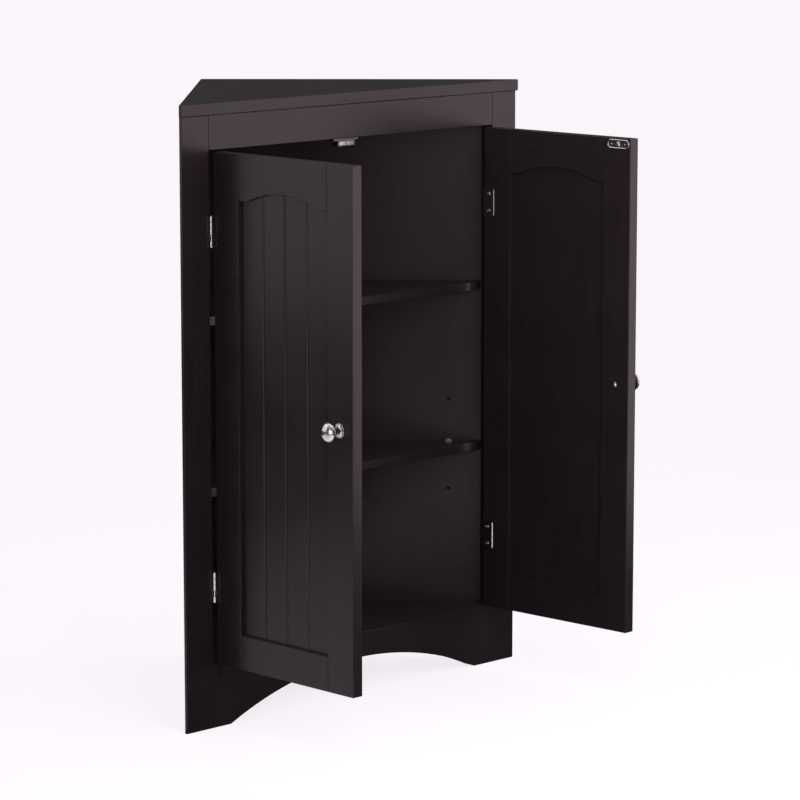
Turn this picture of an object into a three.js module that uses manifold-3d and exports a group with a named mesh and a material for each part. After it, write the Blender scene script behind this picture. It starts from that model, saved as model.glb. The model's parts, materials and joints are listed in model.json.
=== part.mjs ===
// A corner cupboard: a carcass that stands in the right-angled corner of a room, a face frame with
// an arched apron, two framed doors with planked panels, a fixed shelf and a shelf on movable clips.
// Millimetres, +Z up. The front faces -Y. The origin is on the floor, in the middle of the joint
// where the two side panels meet at the rear corner. The doors stand open.
import * as THREE from "three";
import { mergeVertices } from "three/addons/utils/BufferGeometryUtils.js";
import Module from "manifold-3d";

const wasm = await Module();
wasm.setup();

// Whole cupboard
const overallHeight = 800;
const bodyWidth = 598;
const wallReturn = 4; // flat outer edge of a front stile, before it slants back along the wall
const glueLine = 0.2; // gap between pieces that are glued or screwed to each other
const cutOverrun = 1; // how far a cutting shape stands past the face that it cuts

// Top panel
const topThickness = 15;
const topFrontOverhang = 2.5;
const topSideOverhang = 2.5;

// Face frame
const frameThickness = 20;
const frameStileWidth = 45;
const topRailHeight = 44;
const apronHeight = 83;
const footWidth = 75;
const toeArchRise = 49;

// Carcass boards
const sideThickness = 15;
const sideFrontFoot = 42; // from each end of a side panel's inner face to its own toe arch
const sideRearFoot = 70;
const bottomThickness = 15;
const battenDepth = 30;
const battenEndGap = 12;

// Shelves, measured from the floor and from the front face
const shelfThickness = 12;
const fixedShelfHeight = 528;
const fixedShelfSetback = 18;
const looseShelfSetback = 21;
const fixedShelfCornerCut = 34; // width of a clipped corner, along the front
const looseShelfCornerCut = 18;
const shelfCornerBack = 24; // depth behind the front face where a clipped corner meets the wall

// Peg holes and shelf clips
const pegHoleRadius = 2.6;
const pegHoleDepth = 9;
const pegMiddleHeight = 303;
const pegPitch = 62;
const pegFrontSetback = 49; // from the front end of a side panel's inner face
const pegRearSetback = 70; // from the rear end of it
const pegRadius = 2.4;
const pegLength = 8;
const clipWidth = 12;
const clipThickness = 1.2;
const clipLedge = 8;
const clipRise = 2.5; // how far a clip shows above its shelf
const clipClearance = 0.3;
const shelfAbovePeg = 4; // shelf's upper face above the middle of its pegs

// Doors
const leftOpenAngle = 90;
const rightOpenAngle = 93;
const doorThickness = 16;
const doorEndGap = 1.5; // above and below a closed door
const hingeGap = 2.4; // between a frame stile and the door hung on it
const meetingGap = 2.4; // between the two closed doors
const doorStileWidth = 45;
const doorRailHeight = 45;
const archRise = 13.5;
const archShoulder = 8;
const archReverseRadius = 34;

// Panels and the grooves that hold them
const panelThickness = 5;
const panelClearance = 0.2;
const grooveDepth = 6;
const grooveEndGap = 0.5;
const plankCount = 4;
const veeWidth = 3.2;
const veeDepth = 1.6;

// Hinges
const hingeHeight = 38.5;
const hingeEndOffset = 100; // middle of a hinge from the nearer end of its door
const knuckleCount = 5;
const knuckleRadius = 2.5;
const knuckleBore = 1.35;
const knuckleGap = 0.3;
const hingeClearance = 0.2;
const leafThickness = 0.9;
const frameLeafDepth = 15;
const doorLeafWrap = 18.8;
const pinRadius = 1.15;
const pinHeadRadius = 2.2;
const pinHeadHeight = 1;

// Wood screws of the hinges and strike plates
const screwHeadRadius = 3;
const screwHeadHeight = 1.4;
const screwShankRadius = 1.5;
const screwLength = 11;
const screwTip = 3;
const screwSpacing = 23;
const screwHoleClearance = 0.2;
const screwSlotWidth = 0.9;
const screwSlotDepth = 0.7;
const screwSlotLengthShare = 0.62; // of the head's diameter
const domeRimShare = 0.45; // a domed head's outline, in shares of its height and radius
const domeShoulderShare = 0.72;
const domeShoulderRiseShare = 0.88;

// Knobs
const knobFromTop = 324; // from the door's upper edge
const knobBaseRadius = 9;
const knobBaseHeight = 2;
const knobNeckRadius = 5;
const knobNeckHeight = 14;
const knobHeadRadius = 12.5;
const knobHeadUnderside = 3.5;
const knobHeadCrown = 6.5;
const knobRimShare = 0.6; // the knob's curves, in shares of the sizes that they follow
const knobStepShare = 0.86;
const knobFlareShare = 0.45;
const knobWaistShare = 0.88;
const knobUnderShare = 0.72;
const knobUnderRiseShare = 0.35;
const knobScrewRadius = 2;
const knobScrewHeadRadius = 4.3;
const knobScrewHeadHeight = 2.2;
const knobScrewBite = 9; // length of the screw inside its knob
const knobScrewClearance = 0.2;

// Magnetic catch and the strike plates that it holds
const strikeLength = 37;
const strikeHeight = 13;
const strikeThickness = 1.2;
const strikeFromEdge = 20;
const strikeFromTop = 8;
const strikeScrewHeadRadius = 3.9;
const catchGap = 0.4; // between the closed strike plates and the catch
const catchWidth = 31;
const catchDepth = 13;
const catchHeight = 7.4; // below the flange
const catchFlangeWidth = 44.6;
const catchFlangeThickness = 4.8;
const magnetBarLength = 25; // both magnets, end to end
const magnetHeight = 5;
const magnetDepth = 9;
const magnetGap = 1; // between the two magnets
const magnetProud = 0.2;
const magnetClearance = 0.15;

// Roundness of curved faces
const ringSides = 12;
const screwSides = 10;
const knobSides = 32;
const knobCrownSteps = 4;
const curveSteps = 8;
const toeArchSteps = 20;

// Sizes worked out from the ones above
const diagonal = Math.SQRT2;
const bodyDepth = bodyWidth / 2 + wallReturn;
const originDepth = bodyDepth - sideThickness / diagonal;
const underTop = overallHeight - topThickness;
const openingHalf = bodyWidth / 2 - frameStileWidth;
const openingTop = underTop - topRailHeight;
const innerDepth = bodyDepth - sideThickness * diagonal; // front face to the inner rear corner
const panelFront = frameThickness + glueLine;
const innerWallLength = (innerDepth - panelFront) * diagonal;
const looseShelfHeight = pegMiddleHeight + shelfAbovePeg;
const wallClearance = glueLine + clipThickness + clipClearance;

const doorWidth = openingHalf - hingeGap - meetingGap / 2;
const doorBottom = apronHeight + doorEndGap;
const doorHeight = openingTop - doorEndGap - doorBottom;
const grooveWidth = panelThickness + 2 * panelClearance;
const grooveFront = (doorThickness - grooveWidth) / 2;
const grooveBack = grooveFront + grooveWidth;
const panelHalf = doorWidth / 2 - doorStileWidth; // half of the width between a door's stiles
const archShoulderHeight = doorHeight - doorRailHeight - archRise;

const pinX = openingHalf - hingeGap / 2;
const pinY = -knuckleRadius - hingeClearance;
const knuckles = [...Array(knuckleCount).keys()];
const frameKnuckles = knuckles.filter((index) => index % 2 === 0);
const doorKnuckles = knuckles.filter((index) => index % 2 === 1);
const knuckleHeight = (hingeHeight - knuckleGap * (knuckleCount - 1)) / knuckleCount;
const knobHeight = doorHeight - knobFromTop;
const catchFront = doorThickness + glueLine + strikeThickness + catchGap;
const catchScrewX = (catchFlangeWidth + catchWidth) / 4;
const catchScrewY = catchFront + catchDepth / 2;
const catchTop = openingTop - glueLine;
const catchFlangeBottom = catchTop - catchFlangeThickness;

const lacquer = { color: 0x352c2f, roughness: 0.42, metalness: 0 };
const polished = { color: 0xc9c8ca, roughness: 0.18, metalness: 1 };
const catchMetal = { color: 0xa9a8ac, roughness: 0.38, metalness: 0.9 };

// Solids and how they are joined and cut
function solid(geometry) {
  const bare = geometry.clone();
  bare.deleteAttribute("normal");
  bare.deleteAttribute("uv");
  const merged = mergeVertices(bare);
  return new wasm.Manifold(
    new wasm.Mesh({
      numProp: 3,
      vertProperties: new Float32Array(merged.attributes.position.array),
      triVerts: new Uint32Array(merged.index.array),
    }),
  );
}

function geometryOf(shape) {
  const mesh = shape.getMesh();
  const geometry = new THREE.BufferGeometry();
  geometry.setAttribute("position", new THREE.BufferAttribute(mesh.vertProperties, mesh.numProp));
  geometry.setIndex(new THREE.BufferAttribute(mesh.triVerts, 1));
  const flat = geometry.toNonIndexed();
  flat.computeVertexNormals();
  return flat;
}

function cut(body, tools) {
  return tools.reduce((left, tool) => left.subtract(tool), body);
}

function join(pieces) {
  return pieces.reduce((whole, piece) => whole.add(piece));
}

// A block between two corners.
function block(low, high) {
  const size = high.map((value, i) => value - low[i]);
  const box = new THREE.BoxGeometry(...size);
  return solid(box.translate(...low.map((value, i) => value + size[i] / 2)));
}

function outline(points) {
  return new THREE.Shape(points.map(([x, y]) => new THREE.Vector2(x, y)));
}

// An outline drawn in plan, standing from one height to another.
function standing(shape, bottom, top, steps = curveSteps) {
  const options = { depth: top - bottom, bevelEnabled: false, curveSegments: steps };
  return solid(new THREE.ExtrudeGeometry(shape, options).translate(0, 0, bottom));
}

// An outline drawn on the front, going back from one depth to another.
function facing(shape, front, back, steps = curveSteps) {
  const options = { depth: back - front, bevelEnabled: false, curveSegments: steps };
  const geometry = new THREE.ExtrudeGeometry(shape, options).rotateX(Math.PI / 2);
  return solid(geometry.translate(0, back, 0));
}

// A closed profile of radius and height, turned about the upright axis.
function turned(profile, sides) {
  const points = profile.map(([radius, height]) => new THREE.Vector2(radius, height));
  if (THREE.ShapeUtils.isClockWise(points)) points.reverse();
  points.push(points[0].clone());
  return solid(new THREE.LatheGeometry(points, sides).rotateX(Math.PI / 2));
}

// A round bar along the Y axis, or turned from it in plan, used to drill and as a peg.
function drill(radius, length, x, y, z, turn = 0) {
  const bar = new THREE.CylinderGeometry(radius, radius, length, screwSides);
  return solid(bar.rotateZ(turn).translate(x, y, z));
}

// A round bar along the Z axis.
function drillUp(radius, length, x, y, z) {
  const bar = new THREE.CylinderGeometry(radius, radius, length, screwSides);
  return solid(bar.rotateX(Math.PI / 2).translate(x, y, z));
}

function add(parent, name, shape, finish) {
  const mesh = new THREE.Mesh(geometryOf(shape), new THREE.MeshStandardMaterial(finish));
  mesh.name = name;
  parent.add(mesh);
  return mesh;
}

const sides = [
  { name: "left", sign: -1, open: leftOpenAngle },
  { name: "right", sign: 1, open: rightOpenAngle },
];

// Inside this group the front face is the plane Y = 0 and the cupboard is centred on X = 0.
const cupboard = new THREE.Group();
cupboard.position.y = -originDepth;

// Carcass
function topPanel() {
  const half = bodyWidth / 2 + topSideOverhang;
  const shape = outline([
    [-half, -topFrontOverhang],
    [half, -topFrontOverhang],
    [half, bodyDepth - half],
    [0, bodyDepth],
    [-half, bodyDepth - half],
  ]);
  return standing(shape, underTop, overallHeight);
}

function frameStile(sign) {
  const shape = outline([
    [sign * openingHalf, 0],
    [(sign * bodyWidth) / 2, 0],
    [(sign * bodyWidth) / 2, wallReturn],
    [sign * (bodyDepth - frameThickness), frameThickness],
    [sign * openingHalf, frameThickness],
  ]);
  return standing(shape, 0, underTop - glueLine);
}

function topRail() {
  const half = openingHalf - glueLine;
  return block([-half, 0, openingTop], [half, frameThickness, underTop - glueLine]);
}

// Draws the shallow arch over a gap between two feet, from its left foot to its right one.
function toeArch(shape, halfGap) {
  const radius = (halfGap * halfGap + toeArchRise * toeArchRise) / (2 * toeArchRise);
  const swing = Math.asin(halfGap / radius);
  shape.lineTo(-halfGap, 0);
  shape.absarc(0, toeArchRise - radius, radius, Math.PI / 2 + swing, Math.PI / 2 - swing, true);
}

// The apron runs down to the floor beside each stile and is cut to an arch between.
function archedApron() {
  const half = openingHalf - glueLine;
  const shape = new THREE.Shape();
  shape.moveTo(-half, 0);
  toeArch(shape, bodyWidth / 2 - footWidth);
  shape.lineTo(half, 0);
  shape.lineTo(half, apronHeight);
  shape.lineTo(-half, apronHeight);
  return facing(shape, 0, frameThickness, toeArchSteps);
}

// Where a place on a side panel's inner face lies, from its distance along that face.
function onWall(sign, along) {
  const back = panelFront + along / diagonal;
  return [sign * (innerDepth - back), back];
}

function pegColumns() {
  return [pegFrontSetback, innerWallLength - pegRearSetback];
}

function pegHoles(sign) {
  const rows = [-pegPitch, 0, pegPitch];
  return pegColumns().flatMap((along) =>
    rows.map((rise) => {
      const [x, y] = onWall(sign, along);
      const turn = (-sign * Math.PI) / 4;
      return drill(pegHoleRadius, 2 * pegHoleDepth, x, y, pegMiddleHeight + rise, turn);
    }),
  );
}

// Under each side panel, daylight shows between a front foot and a rear one.
function sideArch(sign) {
  const halfGap = (innerWallLength - sideFrontFoot - sideRearFoot) / 2;
  const shape = new THREE.Shape();
  shape.moveTo(-halfGap, -cutOverrun);
  toeArch(shape, halfGap);
  shape.lineTo(halfGap, -cutOverrun);
  const reach = sideThickness + cutOverrun;
  const turn = THREE.MathUtils.radToDeg((-sign * Math.PI) / 4);
  const [x, y] = onWall(sign, sideFrontFoot + halfGap);
  return facing(shape, -reach, reach, toeArchSteps).rotate([0, 0, turn]).translate([x, y, 0]);
}

// The left panel runs through to the rear corner and the right one butts against it.
function sidePanel(sign) {
  const frontOuter = [sign * (bodyDepth - panelFront), panelFront];
  const frontInner = [sign * (innerDepth - panelFront), panelFront];
  const step = sideThickness / diagonal;
  const gap = glueLine / diagonal;
  const rear =
    sign < 0
      ? [[step, bodyDepth - step], [0, bodyDepth]]
      : [[gap, innerDepth - gap], [step + gap, bodyDepth - step - gap]];
  const board = standing(outline([frontOuter, frontInner, ...rear]), 0, underTop - glueLine);
  return cut(board, [sideArch(sign), ...pegHoles(sign)]);
}

function bottomPanel() {
  const rear = innerDepth - glueLine * diagonal;
  const shape = outline([
    [panelFront - rear, panelFront],
    [rear - panelFront, panelFront],
    [0, rear],
  ]);
  return standing(shape, apronHeight - bottomThickness, apronHeight);
}

function shelf(setback, cornerCut, clearance, height) {
  const rear = innerDepth - clearance * diagonal;
  const half = rear - shelfCornerBack;
  const shape = outline([
    [cornerCut - half, setback],
    [half - cornerCut, setback],
    [half, shelfCornerBack],
    [0, rear],
    [-half, shelfCornerBack],
  ]);
  return standing(shape, height - shelfThickness, height);
}

// The batten stiffens the top rail and carries the catch, whose screws go up into it.
function batten() {
  const back = panelFront + battenDepth;
  const half = innerDepth - back - battenEndGap;
  const board = block([-half, panelFront, openingTop], [half, back, underTop - glueLine]);
  return cut(board, catchScrewHoles(2 * screwLength));
}

// A clip's peg goes into the wall along -Y and its ledge stands out under the shelf along +Y.
function shelfClip() {
  const ledgeTop = shelfAbovePeg - shelfThickness - glueLine;
  const back = glueLine + clipThickness;
  const half = clipWidth / 2;
  const crown = shelfAbovePeg + clipRise;
  const shape = new THREE.Shape();
  shape.moveTo(-half, ledgeTop - clipThickness);
  shape.lineTo(half, ledgeTop - clipThickness);
  shape.lineTo(half, crown - half);
  shape.absarc(0, crown - half, half, 0, Math.PI, false);
  const plate = facing(shape, glueLine, back);
  const low = [-half, glueLine, ledgeTop - clipThickness];
  const ledge = block(low, [half, back + clipLedge, ledgeTop]);
  const peg = drill(pegRadius, pegLength, 0, back - pegLength / 2, 0);
  return join([plate, ledge, peg]);
}

add(cupboard, "top_panel", topPanel(), lacquer);
add(cupboard, "top_rail", topRail(), lacquer);
add(cupboard, "arched_apron", archedApron(), lacquer);
add(cupboard, "bottom_panel", bottomPanel(), lacquer);
const fixedShelf = shelf(fixedShelfSetback, fixedShelfCornerCut, glueLine, fixedShelfHeight);
const looseShelf = shelf(looseShelfSetback, looseShelfCornerCut, wallClearance, looseShelfHeight);
add(cupboard, "fixed_shelf", fixedShelf, lacquer);
add(cupboard, "loose_shelf", looseShelf, lacquer);
add(cupboard, "catch_batten", batten(), lacquer);
for (const { name, sign } of sides) {
  add(cupboard, `${name}_frame_stile`, frameStile(sign), lacquer);
  add(cupboard, `${name}_side_panel`, sidePanel(sign), lacquer);
  pegColumns().forEach((along, i) => {
    const clip = add(cupboard, `${name}_shelf_clip_${i + 1}`, shelfClip(), polished);
    clip.position.set(...onWall(sign, along), pegMiddleHeight);
    clip.rotation.z = Math.PI - (sign * Math.PI) / 4;
  });
}

// Screws stand along +Z with the underside of the head at zero.
function crossSlots(radius, top) {
  const reach = radius * screwSlotLengthShare;
  const half = screwSlotWidth / 2;
  const floor = top - screwSlotDepth;
  return [
    block([-reach, -half, floor], [reach, half, top + cutOverrun]),
    block([-half, -reach, floor], [half, reach, top + cutOverrun]),
  ];
}

function domedHead(radius, height) {
  return [
    [radius, 0],
    [radius, height * domeRimShare],
    [radius * domeShoulderShare, height * domeShoulderRiseShare],
    [0, height],
  ];
}

function woodScrew(headRadius = screwHeadRadius) {
  const head = domedHead(headRadius, screwHeadHeight);
  const profile = [
    [0, -screwLength],
    [screwShankRadius, screwTip - screwLength],
    [screwShankRadius, 0],
    ...head,
  ];
  return cut(turned(profile, screwSides), crossSlots(headRadius, screwHeadHeight));
}

function knobScrew() {
  const length = doorThickness + 2 * glueLine + knobScrewBite;
  const head = domedHead(knobScrewHeadRadius, knobScrewHeadHeight);
  const profile = [[0, -length], [knobScrewRadius, -length], [knobScrewRadius, 0], ...head];
  return cut(turned(profile, screwSides), crossSlots(knobScrewHeadRadius, knobScrewHeadHeight));
}

// Frame leaf, knuckles and pin of one hinge, about the pin's axis, with the stile on the sign's side
function knuckle(index) {
  const bottom = index * (knuckleHeight + knuckleGap) - hingeHeight / 2;
  const top = bottom + knuckleHeight;
  const ring = turned(
    [
      [knuckleBore, bottom],
      [knuckleRadius, bottom],
      [knuckleRadius, top],
      [knuckleBore, top],
    ],
    ringSides,
  );
  return { ring, bottom, top };
}

// A leaf's plate lies beside the pin's axis and tabs join it to its own knuckles.
function leafPlate(sign, indexes, depth) {
  const near = sign * (hingeClearance / 2);
  const far = sign * (hingeClearance / 2 + leafThickness);
  const [low, high] = [Math.min(near, far), Math.max(near, far)];
  const clear = knuckleRadius + knuckleGap;
  const root = (knuckleBore + knuckleRadius) / 2;
  const half = hingeHeight / 2;
  const plate = block([low, clear, -half], [high, depth, half]);
  const tabs = indexes.flatMap((index) => {
    const { ring, bottom, top } = knuckle(index);
    return [ring, block([low, root, bottom], [high, clear + knuckleGap, top])];
  });
  return join([plate, ...tabs]);
}

function frameLeaf(sign) {
  return leafPlate(sign, frameKnuckles, frameLeafDepth - pinY);
}

// The door leaf passes along the door's edge and turns onto its back.
function doorLeaf(sign) {
  const back = doorThickness - pinY + glueLine;
  const edge = hingeClearance / 2;
  const ends = [-sign * edge, -sign * (edge + doorLeafWrap)];
  const half = hingeHeight / 2;
  const low = [Math.min(...ends), back, -half];
  const wrap = block(low, [Math.max(...ends), back + leafThickness, half]);
  const leaf = join([leafPlate(-sign, doorKnuckles, back + leafThickness), wrap]);
  const bores = [-1, 1].map((end) =>
    drill(
      screwShankRadius + screwHoleClearance,
      2 * (leafThickness + cutOverrun),
      -sign * (edge + doorLeafWrap / 2),
      back,
      (end * screwSpacing) / 2,
    ),
  );
  return cut(leaf, bores);
}

function hingePin() {
  const half = hingeHeight / 2 + hingeClearance;
  const top = half + pinHeadHeight;
  const profile = [
    [0, -top],
    [pinHeadRadius * domeShoulderShare, -top],
    [pinHeadRadius, -half],
    [pinRadius, -half],
    [pinRadius, half],
    [pinHeadRadius, half],
    [pinHeadRadius * domeShoulderShare, top],
    [0, top],
  ];
  return turned(profile, ringSides);
}

// Pieces of a door. X = 0 is its middle line, Y = 0 its outer face and Z = 0 its lower edge.
function grooved(inner, outer) {
  const floor = inner + Math.sign(outer) * grooveDepth;
  return outline([
    [outer, 0],
    [inner, 0],
    [inner, grooveFront],
    [floor, grooveFront],
    [floor, grooveBack],
    [inner, grooveBack],
    [inner, doorThickness],
    [outer, doorThickness],
  ]);
}

function woodScrewHole(x, z) {
  const radius = screwShankRadius + screwHoleClearance;
  return drill(radius, 2 * screwLength, x, doorThickness, z);
}

// Where the hinges' screws stand, from the door's middle line
const hingeScrewX = doorWidth / 2 + hingeGap / 2 - hingeClearance / 2 - doorLeafWrap / 2;
const hingeMiddles = [hingeEndOffset, doorHeight - hingeEndOffset];
const hingeScrewHeights = hingeMiddles.flatMap((z) => [z - screwSpacing / 2, z + screwSpacing / 2]);
const freeStileX = doorWidth / 2 - doorStileWidth / 2;
const strikeX = doorWidth / 2 - strikeFromEdge;
const strikeZ = doorHeight - strikeFromTop;

function hingeStile(sign) {
  const shape = grooved(sign * panelHalf, (sign * doorWidth) / 2);
  const holes = hingeScrewHeights.map((z) => woodScrewHole(sign * hingeScrewX, z));
  return cut(standing(shape, 0, doorHeight), holes);
}

function freeStile(sign) {
  const shape = grooved(-sign * panelHalf, (-sign * doorWidth) / 2);
  const bore = knobScrewRadius + knobScrewClearance;
  return cut(standing(shape, 0, doorHeight), [
    drill(bore, 2 * (doorThickness + cutOverrun), -sign * freeStileX, 0, knobHeight),
    woodScrewHole(-sign * strikeX, strikeZ),
  ]);
}

// The eyebrow arch: a flat shoulder, a reverse curve, the main curve and the same again. Raised
// draws it that much further into the rail, with its curves about the same centres.
function archEdge(shape, half, raised) {
  const run = panelHalf - archShoulder;
  const radii = (run * run + archRise * archRise) / (2 * archRise);
  const main = radii - archReverseRadius + raised;
  const reverse = archReverseRadius - raised;
  const swing = Math.asin(run / radii);
  const shoulder = archShoulderHeight + raised;
  const reverseZ = archShoulderHeight + archReverseRadius;
  const mainZ = archShoulderHeight + archRise - (radii - archReverseRadius);
  shape.lineTo(half, shoulder);
  shape.absarc(run, reverseZ, reverse, -Math.PI / 2, -Math.PI / 2 - swing, true);
  shape.absarc(0, mainZ, main, Math.PI / 2 - swing, Math.PI / 2 + swing, false);
  shape.absarc(-run, reverseZ, reverse, swing - Math.PI / 2, -Math.PI / 2, true);
  shape.lineTo(-half, shoulder);
}

// Short tenons on a rail's ends fill the stiles' grooves.
function tenons(bottom, top) {
  const start = panelHalf - glueLine - cutOverrun;
  const end = panelHalf + grooveDepth - grooveEndGap;
  const front = grooveFront + panelClearance;
  const back = grooveBack - panelClearance;
  return [
    block([start, front, bottom], [end, back, top]),
    block([-end, front, bottom], [-start, back, top]),
  ];
}

function archedRail() {
  const half = panelHalf - glueLine;
  const face = new THREE.Shape();
  face.moveTo(-half, doorHeight);
  face.lineTo(half, doorHeight);
  archEdge(face, half, 0);
  const groove = new THREE.Shape();
  const wide = half + cutOverrun;
  const below = archShoulderHeight - grooveDepth;
  groove.moveTo(-wide, below);
  groove.lineTo(wide, below);
  archEdge(groove, wide, grooveDepth);
  const rail = cut(facing(face, 0, doorThickness), [facing(groove, grooveFront, grooveBack)]);
  return join([rail, ...tenons(archShoulderHeight + grooveDepth, doorHeight)]);
}

function bottomRail() {
  const half = panelHalf - glueLine;
  const floor = doorRailHeight - grooveDepth;
  const rail = block([-half, 0, 0], [half, doorThickness, doorRailHeight]);
  const low = [-half - cutOverrun, grooveFront, floor];
  const groove = block(low, [half + cutOverrun, grooveBack, doorRailHeight + cutOverrun]);
  return join([cut(rail, [groove]), ...tenons(0, floor)]);
}

// The panel is one board with vee grooves that divide it into planks.
function plankedPanel() {
  const reach = grooveDepth - grooveEndGap;
  const half = panelHalf + reach;
  const bottom = doorRailHeight - reach;
  const front = grooveFront + panelClearance;
  const shape = new THREE.Shape();
  shape.moveTo(-half, bottom);
  shape.lineTo(half, bottom);
  archEdge(shape, half, reach);
  const vees = [];
  for (let i = 1; i < plankCount; i += 1) {
    const x = panelHalf * ((2 * i) / plankCount - 1);
    const lip = veeWidth / 2 + (cutOverrun * veeWidth) / (2 * veeDepth);
    const vee = outline([
      [x - lip, front - cutOverrun],
      [x + lip, front - cutOverrun],
      [x, front + veeDepth],
    ]);
    vees.push(standing(vee, bottom - cutOverrun, doorHeight));
  }
  return cut(facing(shape, front, front + panelThickness), vees);
}

// A knob stands along +Z from the door's face and is bored for its screw.
function knob() {
  const neckTop = knobBaseHeight + knobNeckHeight;
  const rim = neckTop + knobHeadUnderside;
  const profile = [
    [0, glueLine],
    [knobBaseRadius, glueLine],
    [knobBaseRadius, knobBaseHeight * knobRimShare],
    [knobBaseRadius * knobStepShare, knobBaseHeight],
    [knobNeckRadius, knobBaseHeight + knobNeckRadius * knobFlareShare],
    [knobNeckRadius * knobWaistShare, (knobBaseHeight + neckTop) / 2],
    [knobNeckRadius, neckTop],
    [knobHeadRadius * knobUnderShare, neckTop + knobHeadUnderside * knobUnderRiseShare],
  ];
  for (let i = 0; i <= knobCrownSteps; i += 1) {
    const angle = ((i / knobCrownSteps) * Math.PI) / 2;
    profile.push([knobHeadRadius * Math.cos(angle), rim + knobHeadCrown * Math.sin(angle)]);
  }
  profile[profile.length - 1][0] = 0;
  const bore = knobScrewRadius + knobScrewClearance;
  const depth = glueLine + knobScrewBite + knobScrewClearance;
  const hole = turned([[0, -cutOverrun], [bore, -cutOverrun], [bore, depth], [0, depth]], screwSides);
  return cut(turned(profile, knobSides), [hole]);
}

// A strike plate is a flat bar with round ends and a hole for its screw.
function strikePlate() {
  const end = strikeHeight / 2;
  const straight = strikeLength / 2 - end;
  const shape = new THREE.Shape();
  shape.moveTo(-straight, -end);
  shape.absarc(straight, 0, end, -Math.PI / 2, Math.PI / 2, false);
  shape.absarc(-straight, 0, end, Math.PI / 2, (3 * Math.PI) / 2, false);
  const plate = facing(shape, 0, strikeThickness);
  const bore = screwShankRadius + screwHoleClearance;
  return cut(plate, [drill(bore, 2 * (strikeThickness + cutOverrun), 0, 0, 0)]);
}

// Two hinges of each door, then the door itself in its own turned group
for (const { name, sign, open } of sides) {
  const hung = new THREE.Group();
  hung.position.set(sign * pinX, pinY, doorBottom);
  hung.rotation.z = THREE.MathUtils.degToRad(sign * open);
  const door = new THREE.Group();
  door.position.set(-sign * (doorWidth / 2 + hingeGap / 2), -pinY, 0);
  hung.add(door);
  cupboard.add(hung);

  ["lower", "upper"].forEach((level, i) => {
    const fixed = [
      add(cupboard, `${name}_${level}_hinge_frame_leaf`, frameLeaf(sign), polished),
      add(cupboard, `${name}_${level}_hinge_pin`, hingePin(), polished),
    ];
    for (const mesh of fixed) mesh.position.set(sign * pinX, pinY, doorBottom + hingeMiddles[i]);
    const leaf = add(hung, `${name}_${level}_hinge_door_leaf`, doorLeaf(sign), polished);
    leaf.position.z = hingeMiddles[i];
  });

  hingeScrewHeights.forEach((z, i) => {
    const screw = add(door, `${name}_hinge_screw_${i + 1}`, woodScrew(), polished);
    const seat = doorThickness + glueLine + leafThickness + glueLine;
    screw.position.set(sign * hingeScrewX, seat, z);
    screw.rotation.x = -Math.PI / 2;
  });

  add(door, `${name}_door_hinge_stile`, hingeStile(sign), lacquer);
  add(door, `${name}_door_free_stile`, freeStile(sign), lacquer);
  add(door, `${name}_door_arched_rail`, archedRail(), lacquer);
  add(door, `${name}_door_bottom_rail`, bottomRail(), lacquer);
  add(door, `${name}_door_panel`, plankedPanel(), lacquer);

  const handle = add(door, `${name}_knob`, knob(), polished);
  handle.position.set(-sign * freeStileX, 0, knobHeight);
  handle.rotation.x = Math.PI / 2;
  const bolt = add(door, `${name}_knob_screw`, knobScrew(), polished);
  bolt.position.set(-sign * freeStileX, doorThickness + glueLine, knobHeight);
  bolt.rotation.x = -Math.PI / 2;

  const strike = add(door, `${name}_strike_plate`, strikePlate(), polished);
  strike.position.set(-sign * strikeX, doorThickness + glueLine, strikeZ);
  const wideScrew = woodScrew(strikeScrewHeadRadius);
  const strikeScrew = add(door, `${name}_strike_screw`, wideScrew, polished);
  const seat = doorThickness + glueLine + strikeThickness + glueLine;
  strikeScrew.position.set(-sign * strikeX, seat, strikeZ);
  strikeScrew.rotation.x = -Math.PI / 2;
}

// Magnetic catch under the batten. Each door's magnet is half of a bar with round ends, and grown
// by its clearance it makes its own pocket.
function magnetSeat(sign, grow) {
  const centre = catchFlangeBottom - catchHeight / 2;
  const half = magnetHeight / 2 + grow;
  const straight = (magnetBarLength - magnetHeight) / 2;
  const inner = sign * (magnetGap / 2 - grow);
  const start = (-sign * Math.PI) / 2;
  const shape = new THREE.Shape();
  shape.moveTo(inner, centre - sign * half);
  shape.lineTo(sign * straight, centre - sign * half);
  shape.absarc(sign * straight, centre, half, start, start + Math.PI, false);
  shape.lineTo(inner, centre + sign * half);
  const front = catchFront - magnetProud;
  return facing(shape, front - grow, front + magnetDepth + grow);
}

function catchScrewHoles(length) {
  const radius = screwShankRadius + screwHoleClearance;
  return sides.map(({ sign }) =>
    drillUp(radius, length, sign * catchScrewX, catchScrewY, catchFlangeBottom),
  );
}

function catchHousing() {
  const half = catchWidth / 2;
  const reach = catchFlangeWidth / 2;
  const back = catchFront + catchDepth;
  const low = [-half, catchFront, catchFlangeBottom - catchHeight];
  const body = block(low, [half, back, catchTop]);
  const flange = block([-reach, catchFront, catchFlangeBottom], [reach, back, catchTop]);
  const pockets = sides.map(({ sign }) => magnetSeat(sign, magnetClearance));
  const holes = catchScrewHoles(2 * (catchFlangeThickness + cutOverrun));
  return cut(join([body, flange]), [...pockets, ...holes]);
}

add(cupboard, "catch_housing", catchHousing(), catchMetal);
for (const { name, sign } of sides) {
  add(cupboard, `${name}_catch_magnet`, magnetSeat(sign, 0), polished);
  const screw = add(cupboard, `${name}_catch_screw`, woodScrew(), polished);
  screw.position.set(sign * catchScrewX, catchScrewY, catchFlangeBottom - glueLine);
  screw.rotation.x = Math.PI;
}

const part = new THREE.Group();
part.add(cupboard);

export default part;
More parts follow.
